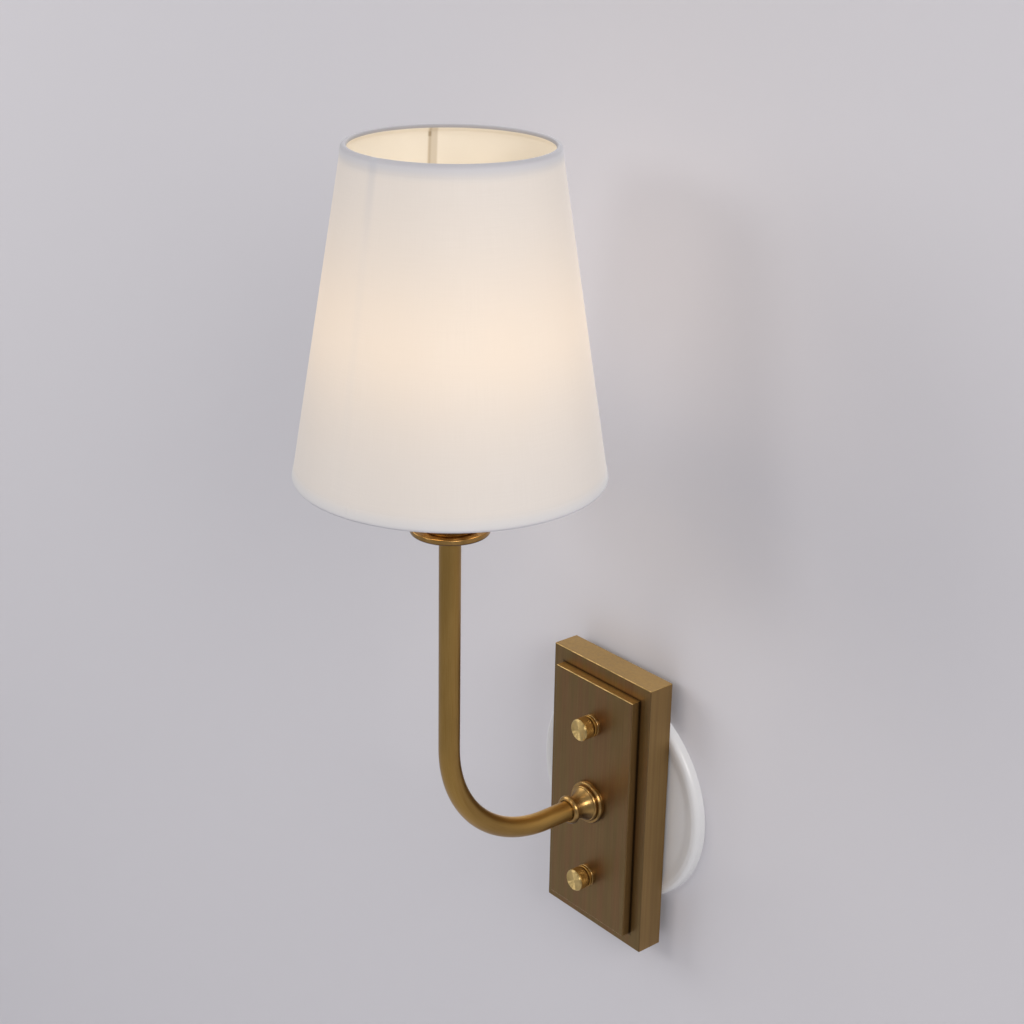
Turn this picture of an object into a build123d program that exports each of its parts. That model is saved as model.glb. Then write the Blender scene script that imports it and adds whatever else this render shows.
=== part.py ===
"""Fabric shade wall light: a conical linen shade on a swept brass arm and a stepped wall plate.

Sizes are in millimetres. X is to the right, Y goes into the wall, Z is up. The origin lies
on the wall, behind the centre of the mounting bracket. "Off the wall" counts from the wall
towards the room, along -Y. "The lamp axis" is the upright axis of the arm's top, where the
cup, the socket, the bulb and the shade stand one above the other.
"""

import os
from math import cos, hypot, pi, radians, sin

from build123d import *

# ---------------------------------------------------------------- clearances
running = 0.06  # radial, a turned piece in its hole or on its thread
seat = 0.05  # between fixed pieces that are pressed or screwed together
loose = 0.4  # radial, a hole that a stud or a wire passes through
cloth_gap = 0.15  # between layers of the shade
rest_gap = 0.3  # under a piece that can move on its seat

# ---------------------------------------------------------------- wall disc
disc_d = 126.4
disc_depth = 5.8
disc_sheet = 1.2
disc_rim_width = 10.4
disc_rim_flat_width = 4.6
disc_rim_step = 1.2
disc_rim_round = 2.6
disc_crest_round = 6.0
disc_foot_round = 16.0  # where the rim's slope runs out into the face
disc_hole_d = 60.0
disc_slot_gap = 1.0  # round the bracket's ends
disc_slot_side_gap = 2.5
disc_slot_round = 5.0

# ---------------------------------------------------------------- bracket and its fasteners
bracket_length = 104.0
bracket_width = 19.0
bracket_sheet = 1.6
bracket_corner = 3.0
bracket_hole_d = 10.4
slot_spacing = 69.0
slot_length = 14.0
slot_width = 4.6
stud_spacing = 95.2
stud_d = 4.16
stud_chamfer = 0.5
stud_tip_gap = 1.2  # to the bottom of the cap nut's thread
stud_nut_flats = 8.7
stud_nut_height = 3.2
ground_screw_z = 18.0
ground_screw_d = 3.8
ground_head_d = 8.0
ground_head_height = 2.0
ground_head_round = 0.7
ground_head_slot = 1.0

# ---------------------------------------------------------------- back plate and front plate
plate_width = 77.4
plate_height = 163.2
plate_depth = 15.6
plate_sheet = 1.2
plate_edge = 0.5
panel_side_margin = 8.1
panel_end_margin = 8.7
front_plate_depth = 5.7
front_plate_sheet = 1.5

# ---------------------------------------------------------------- knurled cap nuts
nut_d = 12.7
nut_length = 8.9
nut_washer_height = 1.4
nut_washer_round = 0.4
nut_groove_width = 0.8
nut_groove_depth = 0.9
nut_thread_depth = 6.2
nut_edge = 0.6
nut_dish = 0.5  # how far the turned face is dished at its centre

# ---------------------------------------------------------------- arm
arm_reach = 126.6  # the lamp axis, off the wall
arm_tube_d = 11.1
arm_bend_radius = 66.7
arm_top = 187.0
nipple_d = 8.0
nipple_bore = 5.0
nipple_grip = 18.0  # how far a nipple goes up into the tube
collar_base_d = 24.4
collar_ring_d = 20.8
collar_neck_d = 13.2
collar_bead_d = 16.2
collar_foot = 0.5  # the straight edge at the plate
collar_base_height = 3.1
collar_groove_height = 0.4
collar_groove_d = 19.0
collar_ring_height = 1.6
collar_bell_d = 18.8  # where it leaves the second ring
collar_bell_height = 8.1
collar_neck_height = 0.4
collar_bead_height = 3.4
collar_crown = 0.6  # how far the rings' edges are rounded
collar_bell_hollow = 1.1
collar_recess = 0.5
collar_recess_depth = 1.4
lug_sheet = 0.8
lug_d = 15.0
lug_tail = 15.0
lug_tail_width = 4.0
lug_neck = 1.5
lug_barrel_wall = 0.8
washer_sheet = 0.8
washer_d = 14.0
lock_nut_flats = 13.0
lock_nut_height = 3.2
nipple_past_nut = 0.4

# ---------------------------------------------------------------- cup and socket
cup_d = 40.0
cup_height = 3.1
cup_edge = 1.1
cup_recess_d = 35.0
cup_recess = 1.0
cap_d = 27.0
cap_wall = 1.5
cap_edge = 1.0
cap_floor = 3.0
cap_height = 18.9
cap_nut_height = 3.0
socket_spigot = 2.0
socket_spigot_wall = 2.0
socket_floor = 3.5
socket_thread_d = 28.0
socket_height = 30.0
shoulder_lip = 2.9  # how far the shoulder reaches under the fitter's plate
shoulder_height = 13.0  # above the cap
shoulder_thick = 2.0
shoulder_slope = 2.0
socket_mouth_wall = 3.0
socket_mouth_depth = 6.0
terminal_size = (4.8, 4.0, 2.8)
terminal_x = 6.0
screw_shell_wall = 0.5
tongue_sheet = 0.5
tongue_width = 3.6
tongue_length = 8.0
tongue_slope_foot = 3.2
tongue_slope_run = 1.6
tongue_tip = 3.0

# ---------------------------------------------------------------- bulb
bulb_d = 35.0
bulb_length = 98.0
bulb_glass_wall = 0.8
bulb_base_d = 11.7
bulb_base_wall = 0.4
bulb_base_height = 17.6
bulb_base_taper = 2.0
bulb_tip_height = 3.0
bulb_tip_r = 1.6
bulb_insulator_r = 3.1
bulb_insulator_height = 3.2
bulb_insulator_bevel = 0.8
bulb_tip_drop = 1.6  # from the base's lower edge to the tip
bulb_thread_pitch = 2.54
bulb_thread_depth = 0.2
bulb_thread_groove_r = 1.1
bulb_thread_start = 3.6
bulb_thread_turns = 5
bulb_neck = 2.5  # how far the glass goes down into the base
bulb_belly_height = 28.4
bulb_shoulder_d = 10.8
bulb_shoulder_drop = 7.9
filament_d = 1.8
filament_length = 34.0
filament_spread = 4.2
stem_height = 14.0
stem_foot_r = 4.0
stem_foot_height = 2.0
stem_waist_r = 2.4
stem_waist_height = 4.0
stem_neck_r = 1.6
stem_head_height = 3.0
stem_rim_height = 0.6

# ---------------------------------------------------------------- shade
shade_bottom_d = 152.4
shade_top_d = 100.2
shade_height = 160.3
shade_base = 216.4  # the shade's lower edge, above the arm's axis at the wall
fabric_thick = 0.5
liner_thick = 0.4
ring_wire_d = 2.0
trim_thick = 0.4
trim_height = 6.2
trim_corner = 1.2
fitter_plate = 1.2
fitter_play = 0.4  # radial, round the socket's thread
fitter_rim = 5.6
fitter_arm_d = 2.2
fitter_arm_inset = 1.6
fitter_arm_count = 3
clamp_ring_wall = 6.5
clamp_ring_height = 7.0
clamp_ring_ribs = 24
clamp_rib_d = 2.0
clamp_floor = 2.0
clamp_rim_wall = 3.0
clamp_thread_wall = 2.5

# ---------------------------------------------------------------- wires
wire_d = 2.0
wire_half_gap = 1.15
wire_fan_radius = 5.0
wire_exit_radius = 6.0
wire_drop = 2.9  # straight under the terminal
wire_above_nipple = 2.6
wire_lead_in = 4.0  # straight above the connector's mouth
wire_end_gap = 2.0
ground_wire_d = 1.6
ground_wire_radius = 5.2
ground_loop_rise = 9.0
ground_wire_lift = 0.3
ground_wire_end_gap = 0.2
connector_x = 22.0
connector_mouth_z = -30.0
connector_length = 17.0
connector_mouth_d = 8.6
connector_tail_d = 6.6
connector_bore_d = 7.0
connector_bore_depth = 10.0

# ---------------------------------------------------------------- places worked out from the sizes
disc_face = disc_depth - disc_rim_step
bracket_front = bracket_sheet
disc_slot_length = bracket_length + 2 * disc_slot_gap
disc_slot_width = bracket_width + 2 * disc_slot_side_gap
plate_front = disc_depth + plate_depth
plate_inside = plate_front - plate_sheet
panel_front = plate_front + front_plate_depth
washer_front = panel_front + nut_washer_height
front_plate_width = plate_width - 2 * panel_side_margin
front_plate_height = plate_height - 2 * panel_end_margin
stud_z = stud_spacing / 2
stud_tip = washer_front + nut_thread_depth - stud_tip_gap
lug_back = plate_inside - lug_sheet
washer_back = lug_back - washer_sheet
lock_nut_back = washer_back - lock_nut_height
arm_nipple_end = lock_nut_back - nipple_past_nut
wire_depth = arm_nipple_end - wire_exit_radius

cup_top = arm_top + cup_height
cap_base = cup_top - cup_recess
cap_inside = cap_base + cap_floor
top_nipple_end = cap_inside + cap_nut_height + nipple_past_nut
cap_top = cap_base + cap_height
contact_base = cap_top + socket_floor
shoulder_top = cap_top + shoulder_height
socket_top = cap_top + socket_height
bulb_tip = contact_base + bulb_tip_height + rest_gap
bulb_base_low = bulb_tip + bulb_tip_drop
socket_mouth_d = socket_thread_d - 2 * socket_mouth_wall
fitter_hole_d = socket_thread_d + 2 * fitter_play
fitter_d = fitter_hole_d + 2 * fitter_rim
shoulder_d = fitter_hole_d + 2 * shoulder_lip
clamp_ring_d = socket_thread_d + 2 * clamp_ring_wall
fitter_base = shoulder_top + rest_gap
fitter_top = fitter_base + fitter_plate
clamp_ring_base = fitter_top + rest_gap

shade_top = shade_base + shade_height
shade_lean = (shade_bottom_d - shade_top_d) / 2 / shade_height
wire_inset = fabric_thick + liner_thick + 2 * cloth_gap + ring_wire_d / 2
wire_rise = trim_thick + cloth_gap + ring_wire_d / 2

lamp_plane = Plane.XZ.offset(arm_reach)
lamp_axis = Axis((0, -arm_reach, 0), (0, 0, 1))
wall_axis = Axis((0, 0, 0), (0, 1, 0))


def off_wall(distance):
    """A plane at a distance off the wall, looking into the room; its Y is the room's up."""
    return Plane.XZ.offset(distance)


def lamp_level(height):
    """A level plane centred on the lamp axis."""
    return Plane((0, -arm_reach, height))


def shade_radius(height):
    """The outer radius of the shade's fabric at a height."""
    return shade_bottom_d / 2 - shade_lean * (height - shade_base)


def in_the_folder(name):
    return os.path.join("parts", name + ".step")


os.makedirs("parts", exist_ok=True)

# ================================================================ wall disc
# A pressed and enamelled disc: a rolled rim, a recessed face, and an opening that clears
# the bracket and lets the house wires through.
disc_r = disc_d / 2
rim_inside = disc_r - disc_rim_width
rim_flat = disc_r - disc_rim_flat_width
with BuildPart() as wall_cover_disc:
    with BuildSketch(Plane.XY):
        with BuildLine():
            FilletPolyline(
                (disc_r, 0),
                (disc_r, -disc_depth),
                (rim_flat, -disc_depth),
                (rim_inside, -disc_face),
                (disc_hole_d / 2, -disc_face),
                radius=[disc_rim_round, disc_crest_round, disc_foot_round],
            )
            Line((disc_hole_d / 2, -disc_face), (disc_hole_d / 2, -disc_face + disc_sheet))
            FilletPolyline(
                (disc_hole_d / 2, -disc_face + disc_sheet),
                (rim_inside, -disc_face + disc_sheet),
                (rim_flat, -disc_depth + disc_sheet),
                (disc_r - disc_sheet, -disc_depth + disc_sheet),
                (disc_r - disc_sheet, 0),
                radius=[disc_foot_round, disc_crest_round, disc_rim_round - disc_sheet],
            )
            Line((disc_r - disc_sheet, 0), (disc_r, 0))
        make_face()
    revolve(axis=wall_axis)
    with BuildSketch(off_wall(0)):
        Rectangle(disc_slot_width, disc_slot_length)
        fillet(vertices(), disc_slot_round)
    extrude(amount=disc_depth, mode=Mode.SUBTRACT)
wall_cover_disc.part.label = "wall_cover_disc"
export_step(wall_cover_disc.part, in_the_folder("wall_cover_disc"))

# ================================================================ bracket and its fasteners
with BuildPart() as mounting_bracket:
    with BuildSketch(off_wall(0)):
        Rectangle(bracket_width, bracket_length)
        fillet(vertices(), bracket_corner)
        Circle(bracket_hole_d / 2, mode=Mode.SUBTRACT)
        with Locations((0, slot_spacing / 2), (0, -slot_spacing / 2)):
            SlotOverall(slot_length, slot_width, rotation=90, mode=Mode.SUBTRACT)
        with Locations((0, stud_z), (0, -stud_z)):
            Circle(stud_d / 2 + seat, mode=Mode.SUBTRACT)
        with Locations((0, ground_screw_z)):
            Circle(ground_screw_d / 2 + seat, mode=Mode.SUBTRACT)
    extrude(amount=bracket_sheet)
mounting_bracket.part.label = "mounting_bracket"
export_step(mounting_bracket.part, in_the_folder("mounting_bracket"))

with BuildPart() as bracket_studs:
    with BuildSketch(off_wall(0)):
        with Locations((0, stud_z), (0, -stud_z)):
            Circle(stud_d / 2)
    extrude(amount=stud_tip)
    chamfer(bracket_studs.faces().sort_by(Axis.Y)[:2].edges(), stud_chamfer)
bracket_studs.part.label = "bracket_studs"
export_step(bracket_studs.part, in_the_folder("bracket_studs"))

with BuildPart() as stud_lock_nuts:
    with BuildSketch(off_wall(bracket_front)):
        with Locations((0, stud_z), (0, -stud_z)):
            RegularPolygon(stud_nut_flats / 2, 6, major_radius=False)
            Circle(stud_d / 2 + seat, mode=Mode.SUBTRACT)
    extrude(amount=stud_nut_height)
stud_lock_nuts.part.label = "stud_lock_nuts"
export_step(stud_lock_nuts.part, in_the_folder("stud_lock_nuts"))

with BuildPart() as ground_screw:
    with BuildSketch(off_wall(0)):
        with Locations((0, ground_screw_z)):
            Circle(ground_screw_d / 2)
    extrude(amount=bracket_front)
    with BuildSketch(off_wall(bracket_front)):
        with Locations((0, ground_screw_z)):
            Circle(ground_head_d / 2)
    extrude(amount=ground_head_height)
    fillet(ground_screw.faces().sort_by(Axis.Y)[0].edges(), ground_head_round)
    with BuildSketch(off_wall(bracket_front + ground_head_height)):
        with Locations((0, ground_screw_z)):
            Rectangle(2 * ground_head_d, ground_head_slot)
    extrude(amount=-ground_head_slot, mode=Mode.SUBTRACT)
ground_screw.part.label = "ground_screw"
export_step(ground_screw.part, in_the_folder("ground_screw"))

# ================================================================ back plate and front plate
with BuildPart() as back_plate:
    with BuildSketch(off_wall(disc_depth)):
        Rectangle(plate_width, plate_height)
    extrude(amount=plate_depth)
    fillet(back_plate.edges().filter_by(Axis.Y), plate_edge)
    fillet(back_plate.faces().sort_by(Axis.Y)[0].edges(), plate_edge)
    with BuildSketch(off_wall(disc_depth)):
        Rectangle(plate_width - 2 * plate_sheet, plate_height - 2 * plate_sheet)
    extrude(amount=plate_depth - plate_sheet, mode=Mode.SUBTRACT)
    with BuildSketch(off_wall(disc_depth)):
        Circle(nipple_d / 2 + seat)
        with Locations((0, stud_z), (0, -stud_z)):
            Circle(stud_d / 2 + loose)
    extrude(amount=plate_depth, mode=Mode.SUBTRACT)
back_plate.part.label = "back_plate"
export_step(back_plate.part, in_the_folder("back_plate"))

with BuildPart() as front_plate:
    with BuildSketch(off_wall(plate_front)):
        Rectangle(front_plate_width, front_plate_height)
    extrude(amount=front_plate_depth)
    fillet(front_plate.edges().filter_by(Axis.Y), plate_edge)
    fillet(front_plate.faces().sort_by(Axis.Y)[0].edges(), plate_edge)
    with BuildSketch(off_wall(plate_front)):
        Rectangle(front_plate_width - 2 * front_plate_sheet, front_plate_height - 2 * front_plate_sheet)
    extrude(amount=front_plate_depth - front_plate_sheet, mode=Mode.SUBTRACT)
    with BuildSketch(off_wall(plate_front)):
        Circle(nipple_d / 2 + seat)
        with Locations((0, stud_z), (0, -stud_z)):
            Circle(stud_d / 2 + loose)
    extrude(amount=front_plate_depth, mode=Mode.SUBTRACT)
front_plate.part.label = "front_plate"
export_step(front_plate.part, in_the_folder("front_plate"))

# ================================================================ knurled cap nuts and their washers
nut_bore_r = stud_d / 2 + running
nut_back = washer_front + seat
nut_front = washer_front + nut_length
nut_groove_front = washer_front + nut_groove_width
nut_thread_end = washer_front + nut_thread_depth
groove_r = nut_d / 2 - nut_groove_depth
for where, height in (("upper", stud_z), ("lower", -stud_z)):
    with BuildPart() as nut_washer:
        with BuildSketch(off_wall(panel_front)):
            with Locations((0, height)):
                Circle(nut_d / 2)
                Circle(stud_d / 2 + loose, mode=Mode.SUBTRACT)
        extrude(amount=nut_washer_height)
        washer_rim = nut_washer.faces().sort_by(Axis.Y)[0].edges().sort_by(SortBy.LENGTH)[-1]
        fillet(washer_rim, nut_washer_round)
    nut_washer.part.label = where + "_nut_washer"
    export_step(nut_washer.part, in_the_folder(where + "_nut_washer"))

    with BuildPart() as cap_nut:
        with BuildSketch(Plane.XY.offset(height)):
            with BuildLine():
                Polyline(
                    (nut_bore_r, -nut_back),
                    (groove_r, -nut_back),
                    (groove_r, -nut_groove_front),
                    (nut_d / 2, -nut_groove_front),
                    (nut_d / 2, -nut_front + nut_edge),
                )
                RadiusArc(
                    (nut_d / 2, -nut_front + nut_edge), (nut_d / 2 - nut_edge, -nut_front), nut_edge
                )
                Polyline(
                    (nut_d / 2 - nut_edge, -nut_front),
                    (0, -nut_front + nut_dish),
                    (0, -nut_thread_end),
                    (nut_bore_r, -nut_thread_end),
                    (nut_bore_r, -nut_back),
                )
            make_face()
        revolve(axis=Axis((0, 0, height), (0, 1, 0)))
    cap_nut.part.label = where + "_cap_nut"
    export_step(cap_nut.part, in_the_folder(where + "_cap_nut"))

# ================================================================ arm
# Collar: a base ring, a groove, a second ring, a hollow bell and a bead round the tube.
collar_bore_r = arm_tube_d / 2 + seat
base_start = panel_front + collar_foot
base_end = panel_front + collar_base_height
ring_start = base_end + collar_groove_height
bell_start = ring_start + collar_ring_height
bell_end = bell_start + collar_bell_height
bead_start = bell_end + collar_neck_height
collar_end = bead_start + collar_bead_height
base_edge_r = collar_base_d / 2 - collar_crown
ring_edge_r = collar_ring_d / 2 - collar_crown
neck_r = collar_neck_d / 2
recess_r = collar_bore_r + collar_recess
recess_end = collar_end - collar_recess_depth
with BuildPart() as arm_collar:
    with BuildSketch(Plane.XY):
        with BuildLine():
            Polyline((collar_bore_r, -panel_front), (base_edge_r, -panel_front), (base_edge_r, -base_start))
            ThreePointArc(
                (base_edge_r, -base_start),
                (collar_base_d / 2, -(base_start + base_end) / 2),
                (base_edge_r, -base_end),
            )
            Polyline(
                (base_edge_r, -base_end),
                (collar_groove_d / 2, -base_end),
                (collar_groove_d / 2, -ring_start),
                (ring_edge_r, -ring_start),
            )
            ThreePointArc(
                (ring_edge_r, -ring_start),
                (collar_ring_d / 2, -(ring_start + bell_start) / 2),
                (ring_edge_r, -bell_start),
            )
            Line((ring_edge_r, -bell_start), (collar_bell_d / 2, -bell_start))
            SagittaArc((collar_bell_d / 2, -bell_start), (neck_r, -bell_end), -collar_bell_hollow)
            Line((neck_r, -bell_end), (neck_r, -bead_start))
            ThreePointArc(
                (neck_r, -bead_start),
                (collar_bead_d / 2, -(bead_start + collar_end) / 2),
                (neck_r, -collar_end),
            )
            Polyline(
                (neck_r, -collar_end),
                (recess_r, -collar_end),
                (recess_r, -recess_end),
                (collar_bore_r, -recess_end),
                (collar_bore_r, -panel_front),
            )
        make_face()
    revolve(axis=wall_axis)
arm_collar.part.label = "arm_collar"
export_step(arm_collar.part, in_the_folder("arm_collar"))

with BuildPart() as arm_tube:
    with BuildLine(Plane.YZ) as arm_path:
        FilletPolyline(
            (-panel_front, 0), (-arm_reach, 0), (-arm_reach, arm_top), radius=arm_bend_radius
        )
    with BuildSketch(off_wall(panel_front)):
        Circle(arm_tube_d / 2)
        Circle(nipple_d / 2 + seat, mode=Mode.SUBTRACT)
    sweep()
arm_tube.part.label = "arm_tube"
export_step(arm_tube.part, in_the_folder("arm_tube"))

with BuildPart() as arm_nipple:
    with BuildSketch(off_wall(arm_nipple_end)):
        Circle(nipple_d / 2)
        Circle(nipple_bore / 2, mode=Mode.SUBTRACT)
    extrude(amount=panel_front + nipple_grip - arm_nipple_end)
arm_nipple.part.label = "arm_nipple"
export_step(arm_nipple.part, in_the_folder("arm_nipple"))

# Behind the plate: the ring terminal of the ground wire, a washer and a hexagon nut.
lug_barrel_r = ground_wire_d / 2 + lug_barrel_wall
lug_barrel_start = lug_d / 2 + lug_neck
lug_depth = lug_back - lug_barrel_r + lug_sheet
with BuildPart() as ground_lug:
    with BuildSketch(off_wall(lug_back)):
        Circle(lug_d / 2)
        with Locations((0, lug_tail / 2)):
            Rectangle(lug_tail_width, lug_tail)
        Circle(nipple_d / 2 + seat, mode=Mode.SUBTRACT)
    extrude(amount=lug_sheet)
    with BuildSketch(Plane((0, -lug_depth, lug_barrel_start))):
        Circle(lug_barrel_r)
    extrude(amount=lug_tail - lug_barrel_start)
ground_lug.part.label = "ground_lug"
export_step(ground_lug.part, in_the_folder("ground_lug"))

with BuildPart() as arm_lock_washer:
    with BuildSketch(off_wall(washer_back)):
        Circle(washer_d / 2)
        Circle(nipple_d / 2 + seat, mode=Mode.SUBTRACT)
    extrude(amount=washer_sheet)
arm_lock_washer.part.label = "arm_lock_washer"
export_step(arm_lock_washer.part, in_the_folder("arm_lock_washer"))

with BuildPart() as arm_lock_nut:
    with BuildSketch(off_wall(lock_nut_back)):
        RegularPolygon(lock_nut_flats / 2, 6, major_radius=False)
        Circle(nipple_d / 2 + seat, mode=Mode.SUBTRACT)
    extrude(amount=lock_nut_height)
arm_lock_nut.part.label = "arm_lock_nut"
export_step(arm_lock_nut.part, in_the_folder("arm_lock_nut"))

# ================================================================ cup and socket
with BuildPart() as cup_disc:
    with BuildSketch(lamp_level(arm_top)):
        Circle(cup_d / 2)
    extrude(amount=cup_height)
    fillet(cup_disc.faces().sort_by(Axis.Z)[0].edges(), cup_edge)
    fillet(cup_disc.faces().sort_by(Axis.Z)[-1].edges(), cup_edge / 2)
    with BuildSketch(lamp_level(cup_top)):
        Circle(cup_recess_d / 2)
    extrude(amount=-cup_recess, mode=Mode.SUBTRACT)
    with BuildSketch(lamp_level(arm_top)):
        Circle(nipple_d / 2 + seat)
    extrude(amount=cup_height, mode=Mode.SUBTRACT)
cup_disc.part.label = "cup_disc"
export_step(cup_disc.part, in_the_folder("cup_disc"))

with BuildPart() as top_nipple:
    with BuildSketch(lamp_level(arm_top - nipple_grip)):
        Circle(nipple_d / 2)
        Circle(nipple_bore / 2, mode=Mode.SUBTRACT)
    extrude(amount=top_nipple_end - arm_top + nipple_grip)
top_nipple.part.label = "top_nipple"
export_step(top_nipple.part, in_the_folder("top_nipple"))

with BuildPart() as socket_cap:
    with BuildSketch(lamp_level(cap_base)):
        Circle(cap_d / 2)
    extrude(amount=cap_height)
    fillet(socket_cap.faces().sort_by(Axis.Z)[0].edges(), cap_edge)
    with BuildSketch(lamp_level(cap_inside)):
        Circle(cap_d / 2 - cap_wall)
    extrude(amount=cap_height - cap_floor, mode=Mode.SUBTRACT)
    with BuildSketch(lamp_level(cap_base)):
        Circle(nipple_d / 2 + seat)
    extrude(amount=cap_floor, mode=Mode.SUBTRACT)
socket_cap.part.label = "socket_cap"
export_step(socket_cap.part, in_the_folder("socket_cap"))

with BuildPart() as socket_lock_nut:
    with BuildSketch(lamp_level(cap_inside)):
        RegularPolygon(lock_nut_flats / 2, 6, major_radius=False)
        Circle(nipple_d / 2 + seat, mode=Mode.SUBTRACT)
    extrude(amount=cap_nut_height)
socket_lock_nut.part.label = "socket_lock_nut"
export_step(socket_lock_nut.part, in_the_folder("socket_lock_nut"))

# The moulded body: a spigot into the cap, a floor, a shoulder for the shade and a thread.
shell_bore_r = bulb_base_d / 2 + running
shell_r = shell_bore_r + screw_shell_wall
cavity_r = shell_r + seat
spigot_r = cap_d / 2 - cap_wall - seat
spigot_bore_r = spigot_r - socket_spigot_wall
shell_top = socket_top - socket_mouth_depth
with BuildPart() as socket_body:
    with BuildSketch(lamp_plane):
        with BuildLine():
            Polyline(
                (0, cap_top),
                (spigot_bore_r, cap_top),
                (spigot_bore_r, cap_top - socket_spigot),
                (spigot_r, cap_top - socket_spigot),
                (spigot_r, cap_top),
                (cap_d / 2, cap_top),
                (cap_d / 2, shoulder_top - shoulder_thick - shoulder_slope),
                (shoulder_d / 2, shoulder_top - shoulder_thick),
                (shoulder_d / 2, shoulder_top),
                (socket_thread_d / 2, shoulder_top),
                (socket_thread_d / 2, socket_top),
                (socket_mouth_d / 2, socket_top),
                (socket_mouth_d / 2, shell_top),
                (cavity_r, shell_top),
                (cavity_r, contact_base),
                (0, contact_base),
                close=True,
            )
        make_face()
    revolve(axis=lamp_axis)
socket_body.part.label = "socket_body"
export_step(socket_body.part, in_the_folder("socket_body"))

with BuildPart() as socket_screw_shell:
    with BuildSketch(lamp_level(contact_base)):
        Circle(shell_r)
        Circle(shell_bore_r, mode=Mode.SUBTRACT)
    extrude(amount=shell_top - contact_base)
socket_screw_shell.part.label = "socket_screw_shell"
export_step(socket_screw_shell.part, in_the_folder("socket_screw_shell"))

# A sprung brass tongue on the floor, bent up to just under the bulb's tip.
tongue_half = tongue_length / 2
tongue_low = contact_base + tongue_sheet
tongue_high = contact_base + bulb_tip_height
with BuildPart() as socket_contact:
    with BuildSketch(lamp_plane):
        with BuildLine():
            Polyline(
                (-tongue_half, contact_base),
                (tongue_half, contact_base),
                (tongue_half, tongue_low),
                (tongue_sheet - tongue_slope_foot, tongue_low),
                (tongue_sheet - tongue_slope_foot + tongue_slope_run, tongue_high - tongue_sheet),
                (tongue_tip, tongue_high - tongue_sheet),
                (tongue_tip, tongue_high),
                (tongue_slope_run - tongue_slope_foot, tongue_high),
                (-tongue_slope_foot, tongue_low),
                (-tongue_half, tongue_low),
                close=True,
            )
        make_face()
    extrude(amount=tongue_width / 2, both=True)
socket_contact.part.label = "socket_contact"
export_step(socket_contact.part, in_the_folder("socket_contact"))

with BuildPart() as socket_terminals:
    with BuildSketch(lamp_level(cap_top - terminal_size[2])):
        with Locations((terminal_x, 0), (-terminal_x, 0)):
            Rectangle(terminal_size[0], terminal_size[1])
    extrude(amount=terminal_size[2])
socket_terminals.part.label = "socket_terminals"
export_step(socket_terminals.part, in_the_folder("socket_terminals"))

# ================================================================ clamp ring of the shade
with BuildPart() as shade_clamp_ring:
    with BuildSketch(lamp_level(clamp_ring_base)):
        Circle(clamp_ring_d / 2 - clamp_rib_d / 4)
        with PolarLocations(clamp_ring_d / 2 - clamp_rib_d / 2, clamp_ring_ribs):
            Circle(clamp_rib_d / 2)
        Circle(socket_thread_d / 2 + running, mode=Mode.SUBTRACT)
    extrude(amount=clamp_ring_height)
    with BuildSketch(lamp_level(clamp_ring_base + clamp_floor)):
        Circle(clamp_ring_d / 2 - clamp_rim_wall)
        Circle(socket_thread_d / 2 + clamp_thread_wall, mode=Mode.SUBTRACT)
    extrude(amount=clamp_ring_height, mode=Mode.SUBTRACT)
shade_clamp_ring.part.label = "shade_clamp_ring"
export_step(shade_clamp_ring.part, in_the_folder("shade_clamp_ring"))

# ================================================================ bulb
base_r = bulb_base_d / 2
base_bore_r = base_r - bulb_base_wall
base_low_r = bulb_insulator_r + seat
base_shoulder = bulb_base_low + bulb_base_taper
base_top = bulb_base_low + bulb_base_height
with BuildPart() as bulb_base:
    with BuildSketch(lamp_plane):
        with BuildLine():
            Polyline(
                (base_low_r, bulb_base_low),
                (base_r, base_shoulder),
                (base_r, base_top),
                (base_bore_r, base_top),
                (base_bore_r, base_shoulder + bulb_base_wall / 2),
                (base_low_r, bulb_base_low + bulb_base_wall),
                close=True,
            )
        make_face()
    revolve(axis=lamp_axis)
    for turn in range(bulb_thread_turns):
        groove_x = base_r + bulb_thread_groove_r - bulb_thread_depth
        groove_height = bulb_base_low + bulb_thread_start + turn * bulb_thread_pitch
        with BuildSketch(lamp_plane):
            with Locations((groove_x, groove_height)):
                Circle(bulb_thread_groove_r)
        revolve(axis=lamp_axis, mode=Mode.SUBTRACT)
bulb_base.part.label = "bulb_base"
export_step(bulb_base.part, in_the_folder("bulb_base"))

insulator_top = bulb_tip + bulb_insulator_height
with BuildPart() as bulb_contact:
    with BuildSketch(lamp_plane):
        with BuildLine():
            Polyline(
                (0, bulb_tip),
                (bulb_tip_r, bulb_tip),
                (bulb_tip_r + bulb_insulator_bevel, bulb_tip + bulb_insulator_bevel),
                (bulb_insulator_r, bulb_base_low),
                (bulb_insulator_r, insulator_top),
                (0, insulator_top),
                close=True,
            )
        make_face()
    revolve(axis=lamp_axis)
bulb_contact.part.label = "bulb_contact"
export_step(bulb_contact.part, in_the_folder("bulb_contact"))


def bulb_profile(inset):
    """The bulb's outline, as points from the neck to the tip, moved in by an inset."""
    top = bulb_tip + bulb_length
    neck_r = base_bore_r - seat - inset
    return (
        (neck_r, base_top - bulb_neck),
        (neck_r, base_top),
        (bulb_d / 2 - inset, base_top + bulb_belly_height),
        (bulb_shoulder_d / 2 - inset / 2, top - bulb_shoulder_drop - inset),
        (0, top - inset),
    )


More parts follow.
